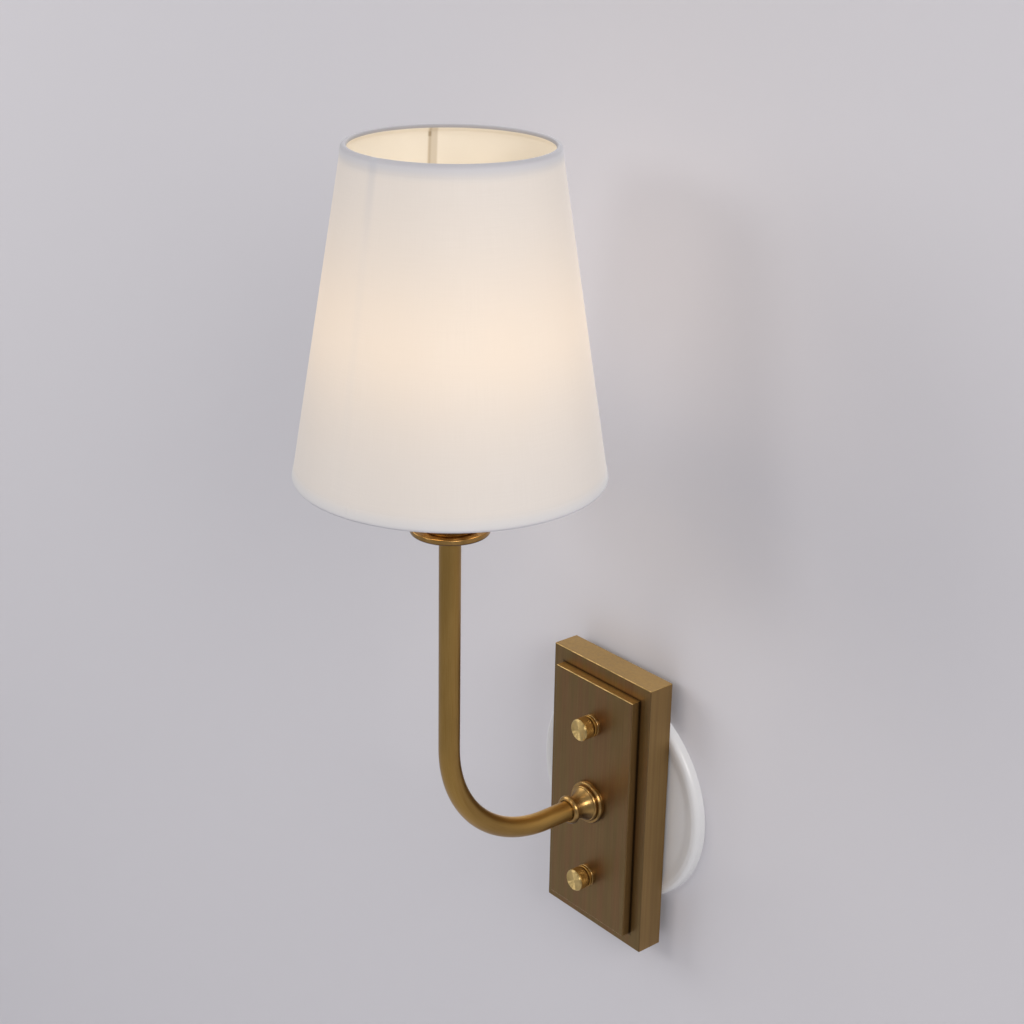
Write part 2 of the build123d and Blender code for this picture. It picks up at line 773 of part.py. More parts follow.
with BuildPart() as bulb_glass:
    with BuildSketch(lamp_plane):
        for inset, how in ((0, Mode.ADD), (bulb_glass_wall, Mode.SUBTRACT)):
            neck_low, neck_high, belly, shoulder, tip = bulb_profile(inset)
            with BuildLine():
                Line(neck_low, neck_high)
                Spline(neck_high, belly, shoulder, tip, tangents=((1, 3), (-1, 0)))
                Polyline(tip, (0, neck_low[1]), neck_low)
            make_face(mode=how)
    revolve(axis=lamp_axis)
bulb_glass.part.label = "bulb_glass"
export_step(bulb_glass.part, in_the_folder("bulb_glass"))

# The glass mount inside the bulb, and the light sticks that stand on it.
stem_top = base_top + stem_height
with BuildPart() as bulb_stem:
    with BuildSketch(lamp_plane):
        with BuildLine():
            Polyline(
                (0, base_top - stem_foot_height),
                (stem_foot_r, base_top - stem_foot_height),
                (stem_waist_r, base_top + stem_waist_height),
                (stem_neck_r, stem_top - stem_head_height),
                (filament_spread, stem_top - stem_rim_height),
                (filament_spread + filament_d / 2, stem_top),
                (0, stem_top),
                close=True,
            )
        make_face()
    revolve(axis=lamp_axis)
bulb_stem.part.label = "bulb_stem"
export_step(bulb_stem.part, in_the_folder("bulb_stem"))

with BuildPart() as bulb_filaments:
    with BuildSketch(lamp_level(stem_top + seat)):
        with PolarLocations(filament_spread, 4):
            Circle(filament_d / 2)
    extrude(amount=filament_length)
bulb_filaments.part.label = "bulb_filaments"
export_step(bulb_filaments.part, in_the_folder("bulb_filaments"))

# ================================================================ shade
wall_low = shade_base + wire_rise
wall_high = shade_top - wire_rise


def cone_layer(inset, thick, low, high):
    """The section of one layer of the shade's wall, from a low to a high edge."""
    return (
        (shade_radius(low) - inset - thick, low),
        (shade_radius(low) - inset, low),
        (shade_radius(high) - inset, high),
        (shade_radius(high) - inset - thick, high),
    )


with BuildPart() as shade_fabric:
    with BuildSketch(lamp_plane):
        with BuildLine():
            Polyline(*cone_layer(0, fabric_thick, wall_low, wall_high), close=True)
        make_face()
    revolve(axis=lamp_axis)
shade_fabric.part.label = "shade_fabric"
export_step(shade_fabric.part, in_the_folder("shade_fabric"))

with BuildPart() as shade_liner:
    with BuildSketch(lamp_plane):
        with BuildLine():
            Polyline(
                *cone_layer(fabric_thick + cloth_gap, liner_thick, wall_low, wall_high), close=True
            )
        make_face()
    revolve(axis=lamp_axis)
shade_liner.part.label = "shade_liner"
export_step(shade_liner.part, in_the_folder("shade_liner"))


# The arms of the fitter run from its plate out to the lower wire ring.
hoop_height = shade_base + wire_rise
hoop_r = shade_radius(hoop_height) - wire_inset
arm_root_r = fitter_d / 2 - fitter_arm_inset
arm_root_height = fitter_top - fitter_arm_d / 2
fitter_arm_length = hypot(hoop_r - arm_root_r, arm_root_height - hoop_height)
fitter_arm_starts = []
for index in range(fitter_arm_count):
    turn = radians(90 + index * 360 / fitter_arm_count)
    root = (arm_root_r * cos(turn), arm_root_r * sin(turn) - arm_reach, arm_root_height)
    hoop_point = Vector(hoop_r * cos(turn), hoop_r * sin(turn) - arm_reach, hoop_height)
    fitter_arm_starts.append(Plane(root, z_dir=hoop_point - Vector(*root)))


def trim_outline(edge, inwards, grow):
    """A folded strip's outline round a rim; edge is the rim's height, inwards points into the shade."""
    end = edge + inwards * trim_height
    lip = edge + inwards * (trim_thick - grow)
    outer = cloth_gap + grow
    inner = wire_inset + ring_wire_d / 2 + cloth_gap + grow
    return (
        (shade_radius(end) + outer, end),
        (shade_radius(lip) + outer, lip),
        (shade_radius(lip) - inner, lip),
        (shade_radius(end) - inner, end),
    )


for where, edge, inwards in (("top", shade_top, -1), ("bottom", shade_base, 1)):
    wire_height = edge + inwards * wire_rise
    with BuildPart() as ring_wire:
        with BuildSketch(lamp_plane):
            with Locations((shade_radius(wire_height) - wire_inset, wire_height)):
                Circle(ring_wire_d / 2)
        revolve(axis=lamp_axis)
    ring_wire.part.label = "shade_" + where + "_ring"
    export_step(ring_wire.part, in_the_folder("shade_" + where + "_ring"))

    with BuildPart() as trim:
        with BuildSketch(lamp_plane):
            for grow, how in ((trim_thick, Mode.ADD), (0, Mode.SUBTRACT)):
                outline = trim_outline(edge, inwards, grow)
                corner = trim_corner - trim_thick + grow
                with BuildLine():
                    FilletPolyline(*outline, radius=corner)
                    Line(outline[3], outline[0])
                make_face(mode=how)
        revolve(axis=lamp_axis)
        if where == "bottom":
            for start_plane in fitter_arm_starts:
                with BuildSketch(start_plane):
                    Circle(fitter_arm_d / 2 + cloth_gap)
                extrude(amount=fitter_arm_length, mode=Mode.SUBTRACT)
    trim.part.label = "shade_" + where + "_trim"
    export_step(trim.part, in_the_folder("shade_" + where + "_trim"))

# The fitter: a plate round the socket's thread, and arms out to the lower wire ring.
with BuildPart() as shade_fitter:
    with BuildSketch(lamp_level(fitter_base)):
        Circle(fitter_d / 2)
        Circle(fitter_hole_d / 2, mode=Mode.SUBTRACT)
    extrude(amount=fitter_plate)
    for start_plane in fitter_arm_starts:
        with BuildSketch(start_plane):
            Circle(fitter_arm_d / 2)
        extrude(amount=fitter_arm_length)
    with BuildSketch(lamp_plane):
        with Locations((hoop_r, hoop_height)):
            Circle(ring_wire_d / 2 + seat)
    revolve(axis=lamp_axis, mode=Mode.SUBTRACT)
shade_fitter.part.label = "shade_fitter"
export_step(shade_fitter.part, in_the_folder("shade_fitter"))

# ================================================================ wires inside the arm
# Each lead drops from its terminal through the arm to a connector behind the plate.
terminal_low = cap_top - terminal_size[2] - seat
fan_top = terminal_low - wire_drop
fan_low = top_nipple_end + wire_above_nipple
lead_end = connector_mouth_z - connector_bore_depth + wire_end_gap
for name, side in (("line_wire", -1), ("neutral_wire", 1)):
    route = (
        (side * terminal_x, -arm_reach, terminal_low),
        (side * terminal_x, -arm_reach, fan_top),
        (side * wire_half_gap, -arm_reach, fan_low),
        (side * wire_half_gap, -arm_reach, 0),
        (side * wire_half_gap, -wire_depth, 0),
        (side * connector_x, -wire_depth, connector_mouth_z + wire_lead_in),
        (side * connector_x, -wire_depth, lead_end),
    )
    radii = [wire_fan_radius, wire_fan_radius, arm_bend_radius, wire_exit_radius, wire_exit_radius]
    with BuildPart() as lead:
        with BuildLine() as lead_path:
            FilletPolyline(*route, radius=radii)
        with BuildSketch(Plane(route[0], z_dir=(0, 0, -1))):
            Circle(wire_d / 2)
        sweep()
    lead_length = sum(edge.length for edge in lead_path.edges())
    print(name, "length", round(lead_length, 1), "radii", radii)
    straight_volume = pi * wire_d**2 / 4 * lead_length
    print(name, "volume over section times length", round(lead.part.volume / straight_volume, 4))
    lead.part.label = name
    export_step(lead.part, in_the_folder(name))

ground_start = (0, -lug_depth, lug_tail + seat)
ground_head_top = ground_screw_z + ground_head_d / 2
ground_crest = ground_head_top + ground_loop_rise
ground_low = bracket_front + ground_wire_d / 2 + ground_wire_lift
with BuildPart() as ground_wire:
    with BuildLine() as ground_path:
        FilletPolyline(
            ground_start,
            (0, -lug_depth, ground_crest),
            (0, -ground_low, ground_crest),
            (0, -ground_low, ground_head_top + ground_wire_end_gap),
            radius=ground_wire_radius,
        )
    with BuildSketch(Plane(ground_start)):
        Circle(ground_wire_d / 2)
    sweep()
print("ground_wire length", round(sum(edge.length for edge in ground_path.edges()), 1))
ground_wire.part.label = "ground_wire"
export_step(ground_wire.part, in_the_folder("ground_wire"))

with BuildPart() as wire_connectors:
    for side in (-1, 1):
        mouth = Plane((side * connector_x, -wire_depth, connector_mouth_z))
        with BuildSketch(mouth):
            Circle(connector_mouth_d / 2)
        with BuildSketch(mouth.offset(-connector_length)):
            Circle(connector_tail_d / 2)
        loft()
        with BuildSketch(mouth):
            Circle(connector_bore_d / 2)
        extrude(amount=-connector_bore_depth, mode=Mode.SUBTRACT)
wire_connectors.part.label = "wire_connectors"
export_step(wire_connectors.part, in_the_folder("wire_connectors"))
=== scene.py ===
"""Looks of the fabric shade wall light. Everything is in metres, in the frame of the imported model:
X to the right, Y into the wall, Z up, with the origin on the wall behind the bracket's centre.
"""

from math import cos, floor, pi, radians, sin, sqrt

import bmesh
import bpy
from mathutils import Matrix, Vector


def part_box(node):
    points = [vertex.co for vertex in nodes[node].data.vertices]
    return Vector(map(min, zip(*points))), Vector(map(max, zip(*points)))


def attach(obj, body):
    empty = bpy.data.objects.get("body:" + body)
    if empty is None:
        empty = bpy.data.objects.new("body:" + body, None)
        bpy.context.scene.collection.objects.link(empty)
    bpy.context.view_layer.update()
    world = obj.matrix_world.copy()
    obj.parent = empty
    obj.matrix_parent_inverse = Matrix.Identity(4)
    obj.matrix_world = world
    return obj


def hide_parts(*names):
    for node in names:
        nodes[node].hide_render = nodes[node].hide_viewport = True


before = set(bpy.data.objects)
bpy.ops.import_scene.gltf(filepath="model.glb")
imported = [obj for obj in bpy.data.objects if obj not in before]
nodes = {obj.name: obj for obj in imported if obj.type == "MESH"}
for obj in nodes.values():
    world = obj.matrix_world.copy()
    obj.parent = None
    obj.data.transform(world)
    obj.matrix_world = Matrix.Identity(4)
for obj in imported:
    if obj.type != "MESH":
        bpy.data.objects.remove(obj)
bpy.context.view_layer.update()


def corners(name):
    """The lowest and highest corner of a node, as two vectors."""
    low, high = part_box(name)
    return Vector(low), Vector(high)


def middle(name):
    """The centre of a node's box."""
    low, high = corners(name)
    return (low + high) / 2


# ================================================================ places read from the frame
fabric_low, fabric_high = corners("shade_fabric")
top_trim_low, top_trim_high = corners("shade_top_trim")
panel_high = corners("front_plate")[1]
plate_front = panel_high.y  # the back plate's face, on which the panel stands
lamp = Vector((0, middle("shade_fabric").y, 0))  # on the upright axis of lamp and shade
shade_base = corners("shade_bottom_trim")[0].z
shade_top = top_trim_high.z
bend_r = 0.0667  # of the arm, to the middle of the tube
bend_y = lamp.y + bend_r  # the bend's centre
bend_z = bend_r

cad_trim_proud = 0.00055  # how far the CAD trims stand out from the linen
linen_low_r = fabric_high.x
linen_high_r = top_trim_high.x - cad_trim_proud
shade_lean = (linen_low_r - linen_high_r) / (top_trim_low.z - fabric_low.z)


def linen_radius(height):
    """The outer radius of the linen at a height."""
    return linen_low_r - shade_lean * (height - fabric_low.z)


# ================================================================ camera
camera_at = Vector((0.67406, -0.65551, 0.53583))
camera_azimuth = radians(49.875)
camera_elevation = radians(21.539)
camera_roll = radians(0.983)
camera_lens = 66.43
sensor = 36.0
frame_pixels = 1024
middle_of_view = Vector((511.72, 511.56))

looking = Vector(
    (
        -sin(camera_azimuth) * cos(camera_elevation),
        cos(camera_azimuth) * cos(camera_elevation),
        -sin(camera_elevation),
    )
)
level_right = looking.cross(Vector((0, 0, 1))).normalized()
level_up = level_right.cross(looking)
view_right = level_right * cos(camera_roll) + level_up * sin(camera_roll)
view_up = level_up * cos(camera_roll) - level_right * sin(camera_roll)

camera_data = bpy.data.cameras.new("camera")
camera_data.lens = camera_lens
camera_data.sensor_width = sensor
camera_data.shift_x = (frame_pixels / 2 - middle_of_view.x) / frame_pixels
camera_data.shift_y = (middle_of_view.y - frame_pixels / 2) / frame_pixels
camera_data.clip_start = 0.02
camera_data.clip_end = 20.0
camera = bpy.data.objects.new("camera", camera_data)
turn = Matrix((view_right, view_up, -looking)).transposed()
camera.matrix_world = Matrix.Translation(camera_at) @ turn.to_4x4()
bpy.context.scene.collection.objects.link(camera)
bpy.context.scene.camera = camera


# ================================================================ node helpers
class Nodes:
    """Short ways to add nodes to a tree."""

    def __init__(self, tree):
        self.tree = tree

    def node(self, kind, **settings):
        made = self.tree.nodes.new(kind)
        for key, value in settings.items():
            setattr(made, key, value)
        return made

    def link(self, source, target):
        self.tree.links.new(source, target)

    def feed(self, socket, value):
        """Links a socket, or sets it where the value is a number or a colour."""
        if isinstance(value, bpy.types.NodeSocket):
            self.link(value, socket)
        elif isinstance(value, tuple) and len(value) == 3 and len(socket.default_value) == 4:
            socket.default_value = (*value, 1)
        else:
            socket.default_value = value

    def maths(self, operation, *values):
        made = self.node("ShaderNodeMath", operation=operation)
        for socket, value in zip(made.inputs, values):
            self.feed(socket, value)
        return made.outputs[0]

    def length(self, first, second):
        """The length of a vector of two parts."""
        first_square = self.maths("MULTIPLY", first, first)
        second_square = self.maths("MULTIPLY", second, second)
        return self.maths("SQRT", self.maths("ADD", first_square, second_square))

    def place(self):
        """The object's own coordinates: the frame's at rest."""
        return self.node("ShaderNodeTexCoord").outputs["Object"]

    def split(self, vector):
        made = self.node("ShaderNodeSeparateXYZ")
        self.link(vector, made.inputs[0])
        return made.outputs

    def join(self, x, y, z):
        made = self.node("ShaderNodeCombineXYZ")
        for socket, value in zip(made.inputs, (x, y, z)):
            self.feed(socket, value)
        return made.outputs[0]

    def scaled(self, vector, x, y, z):
        made = self.node("ShaderNodeMapping")
        self.link(vector, made.inputs["Vector"])
        made.inputs["Scale"].default_value = (x, y, z)
        return made.outputs[0]

    def grain(self, vector, scale=1.0, detail=3.0, roughness=0.5):
        made = self.node("ShaderNodeTexNoise")
        self.link(vector, made.inputs["Vector"])
        made.inputs["Scale"].default_value = scale
        made.inputs["Detail"].default_value = detail
        made.inputs["Roughness"].default_value = roughness
        return made.outputs["Fac"]

    def spread(self, value, low, high, to_low=0.0, to_high=1.0, smooth=False):
        made = self.node("ShaderNodeMapRange")
        made.interpolation_type = "SMOOTHSTEP" if smooth else "LINEAR"
        self.link(value, made.inputs["Value"])
        limits = {"From Min": low, "From Max": high, "To Min": to_low, "To Max": to_high}
        for socket, number in limits.items():
            made.inputs[socket].default_value = number
        return made.outputs[0]

    def blend(self, amount, first, second):
        made = self.node("ShaderNodeMix", data_type="RGBA")
        self.feed(made.inputs[0], amount)
        self.feed(made.inputs[6], first)
        self.feed(made.inputs[7], second)
        return made.outputs[2]

    def bump(self, height, distance, strength, under=None):
        made = self.node("ShaderNodeBump")
        made.inputs["Strength"].default_value = strength
        made.inputs["Distance"].default_value = distance
        self.link(height, made.inputs["Height"])
        if under is not None:
            self.link(under, made.inputs["Normal"])
        return made.outputs[0]


class Finish(Nodes):
    """A material with the nodes of its look."""

    def __init__(self, name, base=(0.8, 0.8, 0.8), **sockets):
        self.material = bpy.data.materials.new(name)
        self.material.use_nodes = True
        super().__init__(self.material.node_tree)
        self.shader = self.tree.nodes["Principled BSDF"]
        self.shader.inputs["Base Color"].default_value = (*base, 1)
        for socket, value in sockets.items():
            self.shader.inputs[socket.replace("_", " ")].default_value = value

    def finish(self, colour=None, roughness=None, normal=None, **sockets):
        if colour is not None:
            self.feed(self.shader.inputs["Base Color"], colour)
        if roughness is not None:
            self.feed(self.shader.inputs["Roughness"], roughness)
        if normal is not None:
            self.link(normal, self.shader.inputs["Normal"])
        for socket, value in sockets.items():
            self.feed(self.shader.inputs[socket.replace("_", " ")], value)
        return self.material


def paint(material, *names):
    for name in names:
        mesh = nodes[name].data
        mesh.materials.clear()
        mesh.materials.append(material)


# ================================================================ metals
def absolute_normal(look):
    """How far a face looks sideways, out of the wall and up or down, each from 0 to 1."""
    normal = look.split(look.node("ShaderNodeNewGeometry").outputs["True Normal"])
    return [look.maths("ABSOLUTE", part) for part in normal]


# Painted shade in the corner round the panel.
corner_shade_reach = 0.0016  # how far the dark corner round the panel reaches
corner_shade_full = 0.0003  # and how near to the corner it is at its darkest


def painted_corner_shade(look, x, y, z):
    """Painted shade: 1 in the corner where the panel stands on the back plate, 0 a step away from
    it.
    """
    beyond_x = look.maths("SUBTRACT", look.maths("ABSOLUTE", x), panel_high.x)
    beyond_z = look.maths("SUBTRACT", look.maths("ABSOLUTE", z), panel_high.z)
    beyond = look.maths("MAXIMUM", look.maths("MAXIMUM", beyond_x, beyond_z), 0.0)
    off = look.maths("SUBTRACT", y, plate_front)
    return look.spread(look.length(beyond, off), corner_shade_reach, corner_shade_full, smooth=True)


def plate_brass():
    """Aged brass, brushed along its height, with smoother rubbed edges; a painted highlight on the
    edges that look up, painted shade on the others and in the corner round the panel, and painted
    light on its upper and side faces.
    """
    look = Finish("aged_brass", Metallic=1.0)
    place = look.place()
    x, y, z = look.split(place)
    sideways, outwards, upwards = absolute_normal(look)
    faces_up = look.spread(upwards, 0.5, 0.8)
    faces_side = look.spread(sideways, 0.5, 0.8)
    along_height = look.grain(look.scaled(place, 5200, 5200, 45), detail=4, roughness=0.65)
    along_width = look.grain(look.scaled(place, 45, 5200, 5200), detail=4, roughness=0.65)
    lines = look.blend(faces_up, along_height, along_width)
    streaks = look.grain(look.scaled(place, 620, 620, 7), detail=4, roughness=0.6)
    tints = look.grain(look.scaled(place, 210, 210, 16), detail=3)
    cloud = look.grain(look.scaled(place, 26, 26, 9), detail=4, roughness=0.55)

    mottled = look.spread(cloud, 0.3, 0.7)
    redder = look.spread(tints, 0.42, 0.62, 0.0, 0.55)
    greener = look.spread(tints, 0.50, 0.34, 0.0, 0.40)
    colour = look.blend(mottled, (0.188, 0.116, 0.046), (0.236, 0.147, 0.058))
    colour = look.blend(redder, colour, (0.226, 0.112, 0.050))
    colour = look.blend(greener, colour, (0.184, 0.126, 0.044))
    # Painted light: side faces lighter as a painted reflection, upper faces lighter, and the panel's
    # upper face painted golden as lit from above.
    side_painted_light = look.blend(mottled, (0.285, 0.176, 0.066), (0.345, 0.217, 0.083))
    top_painted_light = look.blend(mottled, (0.266, 0.157, 0.038), (0.322, 0.192, 0.048))
    on_panel = look.spread(y, plate_front - 0.0002, plate_front - 0.0008)
    top_painted_light = look.blend(on_panel, top_painted_light, (0.52, 0.33, 0.105))
    colour = look.blend(faces_side, colour, side_painted_light)
    colour = look.blend(faces_up, colour, top_painted_light)
    colour = look.blend(look.spread(streaks, 0.40, 0.62, 0.0, 0.22), colour, (0.120, 0.072, 0.036))
    colour = look.blend(look.spread(lines, 0.40, 0.64, 0.0, 0.16), colour, (0.42, 0.30, 0.15))
    # The rounded edges: a painted highlight where they look up, painted shade where they don't.
    largest = look.maths("MAXIMUM", look.maths("MAXIMUM", sideways, outwards), upwards)
    edge = look.spread(largest, 0.995, 0.93, smooth=True)
    upper_edge_highlight = look.spread(upwards, 0.1, 0.4)
    upper_edge_highlight = look.maths("MULTIPLY", upper_edge_highlight, look.spread(tints, 0.38, 0.58, 0.35, 1.0))
    colour = look.blend(look.maths("MULTIPLY", edge, upper_edge_highlight), colour, (0.58, 0.38, 0.145))
    lower_edge_shade = look.maths("MULTIPLY", edge, look.spread(upwards, 0.4, 0.1))
    colour = look.blend(look.maths("MULTIPLY", lower_edge_shade, 0.55), colour, (0.115, 0.070, 0.032))
    # Painted shade in the corner round the panel, weaker on faces that look up.
    less_shade_above = look.maths("SUBTRACT", 1.0, look.maths("MULTIPLY", faces_up, 0.75))
    corner_shade = look.maths("MULTIPLY", painted_corner_shade(look, x, y, z), less_shade_above)
    colour = look.blend(look.maths("MULTIPLY", corner_shade, 0.8), colour, (0.036, 0.020, 0.008))
    rubbed = look.maths("MULTIPLY", edge, -0.1)
    rough = look.maths("ADD", look.spread(lines, 0.3, 0.7, 0.38, 0.48), rubbed)
    normal_out = look.bump(lines, 0.00002, 0.35)
    normal_out = look.bump(cloud, 0.00012, 0.25, under=normal_out)
    return look.finish(colour, rough, normal_out)


def tube_brass():
    """Satin brass, drawn along the tube through its bend, with painted light making it more golden
    on top of its run out.
    """
    look = Finish("satin_brass", Metallic=1.0)
    x, y, z = look.split(look.place())
    inward = look.maths("MAXIMUM", look.maths("SUBTRACT", bend_y, y), 0.0)
    down = look.maths("MAXIMUM", look.maths("SUBTRACT", bend_z, z), 0.0)
    above_bend = look.maths("MAXIMUM", look.maths("SUBTRACT", z, bend_z), 0.0)
    past_bend = look.maths("MAXIMUM", look.maths("SUBTRACT", y, bend_y), 0.0)
    along = look.maths("MULTIPLY", look.maths("ARCTAN2", down, inward), bend_r)
    along = look.maths("ADD", look.maths("SUBTRACT", along, above_bend), past_bend)
    drawn = look.join(x, look.length(inward, down), along)
    lines = look.grain(look.scaled(drawn, 3600, 3600, 50), detail=4, roughness=0.6)
    cloud = look.grain(look.scaled(drawn, 90, 90, 26), detail=4)
    mottled = look.spread(cloud, 0.32, 0.68)
    colour = look.blend(mottled, (0.275, 0.160, 0.042), (0.360, 0.213, 0.060))
    colour = look.blend(look.spread(lines, 0.36, 0.64, 0.0, 0.35), colour, (0.47, 0.30, 0.10))
    # Painted light: the top of the run out, under the shade, painted golden as lit by the lamp.
    upward = look.split(look.node("ShaderNodeNewGeometry").outputs["Normal"])[2]
    on_run = look.spread(y, -0.115, -0.075)
    painted_lit_top = look.spread(upward, 0.1, 0.7, 0.0, 0.9)
    colour = look.blend(look.maths("MULTIPLY", on_run, painted_lit_top), colour, (0.66, 0.39, 0.105))
    rough = look.spread(lines, 0.3, 0.7, 0.30, 0.40)
    return look.finish(colour, rough, look.bump(lines, 0.000015, 0.35))


def spun_brass(name, axis, tones, roughness, anisotropy, about=None, rings_scale=7000, below=None):
    """Brass turned on a lathe: fine rings round an axis, which stretch its highlights.

    tones are its darker and its lighter colour, and below is a painted shade colour for faces that
    look down.
    """
    look = Finish(name, Metallic=1.0, Anisotropic=anisotropy, Anisotropic_Rotation=0.25)
    x, y, z = look.split(look.place())
    at = about or Vector((0, 0, 0))
    x = look.maths("SUBTRACT", x, at.x)
    y = look.maths("SUBTRACT", y, at.y)
    z = look.maths("SUBTRACT", z, at.z)
    out = look.length(x, z) if axis == "Y" else look.length(x, y)
    along = y if axis == "Y" else z
    turned = look.scaled(look.join(out, along, 0.0), rings_scale, rings_scale, 1)
    rings = look.grain(turned, detail=3, roughness=0.6)
    cloud = look.grain(look.scaled(look.place(), 170, 170, 170), detail=3)
    colour = look.blend(look.spread(cloud, 0.3, 0.7), *tones)
    if below is not None:
        # Painted shade on faces that look down.
        upward = look.split(look.node("ShaderNodeNewGeometry").outputs["Normal"])[2]
        colour = look.blend(look.spread(upward, 0.02, -0.35, smooth=True), colour, below)
    rough = look.spread(rings, 0.3, 0.7, roughness - 0.04, roughness + 0.06)
    lathe = look.node("ShaderNodeTangent", direction_type="RADIAL", axis=axis)
    look.link(lathe.outputs[0], look.shader.inputs["Tangent"])
    return look.finish(colour, rough, look.bump(rings, 0.00001, 0.35))


def zinc():
    """Zinc plating: bluish and yellowish patches, dull."""
    look = Finish("zinc_steel", Metallic=1.0)
    place = look.place()
    cloud = look.grain(place, 160, 4, 0.6)
    fine = look.grain(place, 1500, 2)
    colour = look.blend(look.spread(cloud, 0.35, 0.65), (0.56, 0.57, 0.58), (0.68, 0.66, 0.58))
    rough = look.spread(fine, 0.3, 0.7, 0.32, 0.5)
    return look.finish(colour, rough, look.bump(fine, 0.00003, 0.3))


def bare_metal(name, dark, light, roughness):
    """Bright metal with faint marks, for small hardware."""
    look = Finish(name, Metallic=1.0)
    cloud = look.grain(look.place(), 260, 4, 0.6)
    marks = look.grain(look.place(), 2400, 2)
    colour = look.blend(look.spread(cloud, 0.35, 0.65), dark, light)
    rough = look.spread(marks, 0.3, 0.7, roughness - 0.06, roughness + 0.08)
    return look.finish(colour, rough, look.bump(marks, 0.00002, 0.3))


# ================================================================ enamel, plastics, glass
def enamel():
    """Glossy white enamel on a pressed disc, with a faint orange peel."""
    look = Finish("white_enamel", Coat_Weight=0.25, Coat_Roughness=0.15)
    place = look.place()
    peel = look.grain(place, 260, 2)
    cloud = look.grain(place, 18, 3)
    mottled = look.spread(cloud, 0.35, 0.65)
    colour = look.blend(mottled, (0.675, 0.660, 0.652), (0.715, 0.700, 0.692))
    rough = look.spread(peel, 0.3, 0.7, 0.30, 0.38)
    return look.finish(colour, rough, look.bump(peel, 0.00002, 0.12))


def moulded(name, dark, light, roughness):
    """Moulded plastic or powder coat with a fine speckled skin."""
    look = Finish(name)
    skin = look.grain(look.place(), 1900, 3)
    cloud = look.grain(look.place(), 90, 3)
    colour = look.blend(look.spread(cloud, 0.3, 0.7), dark, light)
    rough = look.spread(skin, 0.3, 0.7, roughness - 0.07, roughness + 0.09)
    return look.finish(colour, rough, look.bump(skin, 0.00004, 0.3))


def frosted_glass():
    """The lit bulb: warm inside, darker towards its base and its tip."""
    look = Finish("frosted_glass", (0.80, 0.76, 0.69), Roughness=0.35)
    z = look.split(look.place())[2]
    low, high = corners("bulb_glass")
    dimmest = 0.16  # of its light, at both ends
    rise = look.spread(z, low.z + 0.004, low.z + 0.042, dimmest, 1.0, smooth=True)
    fall = look.spread(z, high.z, high.z - 0.046, dimmest, 1.0, smooth=True)
    skin = look.grain(look.place(), 900, 2)
    glow = look.maths("MULTIPLY", look.maths("MULTIPLY", rise, fall), 1.4)
    return look.finish(
        normal=look.bump(skin, 0.00003, 0.2),
        Emission_Color=(1.0, 0.80, 0.53),
        Emission_Strength=glow,
    )


def clear_glass():
    """The stem in the bulb, with a faint ripple."""
    tint = (0.85, 0.9, 0.88)
    look = Finish("clear_glass", tint, Roughness=0.05, Transmission_Weight=1.0, IOR=1.5)
    ripple = look.grain(look.place(), 300, 2)
    return look.finish(normal=look.bump(ripple, 0.0001, 0.2))


def light_sticks():
    """The lit sticks in the bulb, a row of beads each."""
    look = Finish("filament", Roughness=0.5)
    beads_a_metre = 900.0
    beads = look.maths("MULTIPLY", look.split(look.place())[2], beads_a_metre)
    beads = look.maths("FRACT", beads)
    colour = look.blend(look.spread(beads, 0.3, 0.7), (0.95, 0.66, 0.22), (0.98, 0.80, 0.40))
    return look.finish(colour, Emission_Color=(1.0, 0.75, 0.4), Emission_Strength=3.0)


# ================================================================ linen
seam_azimuth = radians(9.3)  # of the lap in the linen, from the room's side to the right
trim_seam_azimuth = {"top": radians(9.6), "bottom": radians(15.8)}
liner_seam_azimuth = radians(242.0) - 2 * pi
glue_beside_seam = 0.036  # radians from the liner's seam to the line of glue
bulb_height = 0.297  # of the brightest part of the shade
glow_reach_up = 0.047  # how far above that the light has fallen to a half
glow_reach_down = 0.036
light_through = (1.0, 0.60, 0.19)
linen_glow = 0.252  # at that height
liner_glow = 0.13
liner_glow_all_over = 0.119
thread = 0.00038  # from yarn to yarn
lap_shade_heights = (0.335, 0.374)  # the heights between which the linen's lap darkens
roll_fades = (0.0026, 0.0002)  # from a rim, where its rolled edge starts and is full


def round_the_lamp(look):
    """Distance from the lamp axis, azimuth from the room's side, and height."""
    x, y, z = look.split(look.place())
    off = look.maths("SUBTRACT", lamp.y, y)
    return look.length(x, off), look.maths("ARCTAN2", x, off), z


def strip_at(look, radius, azimuth, centre, half_width, soft):
    """1 on an upright strip of the shade, 0 beside it."""
    turned = look.maths("ABSOLUTE", look.maths("SUBTRACT", azimuth, centre))
    away = look.maths("MULTIPLY", turned, radius)
    return look.spread(away, half_width + soft, half_width - soft, smooth=True)


def glow_at(look, height, peak):
    """The bulb's light in the shade at a height: a soft hill, longer above the bulb than below."""
    above = look.maths("DIVIDE", look.maths("SUBTRACT", height, bulb_height), glow_reach_up)
    below = look.maths("DIVIDE", look.maths("SUBTRACT", bulb_height, height), glow_reach_down)
    away = look.maths("MAXIMUM", above, below)
    hill = look.maths("DIVIDE", 1.0, look.maths("ADD", 1.0, look.maths("MULTIPLY", away, away)))
    return look.maths("MULTIPLY", hill, peak)


def from_nearest_rim(look, height):
    """How far a height is from the nearer end of the shade."""
    from_top = look.maths("SUBTRACT", shade_top, height)
    from_base = look.maths("SUBTRACT", height, shade_base)
    return look.maths("MINIMUM", from_top, from_base)


def clear_of_rims(look, height, start, end):
    """0 next to the wire in either rim, 1 where the linen is clear of it."""
    return look.spread(from_nearest_rim(look, height), start, end, smooth=True)


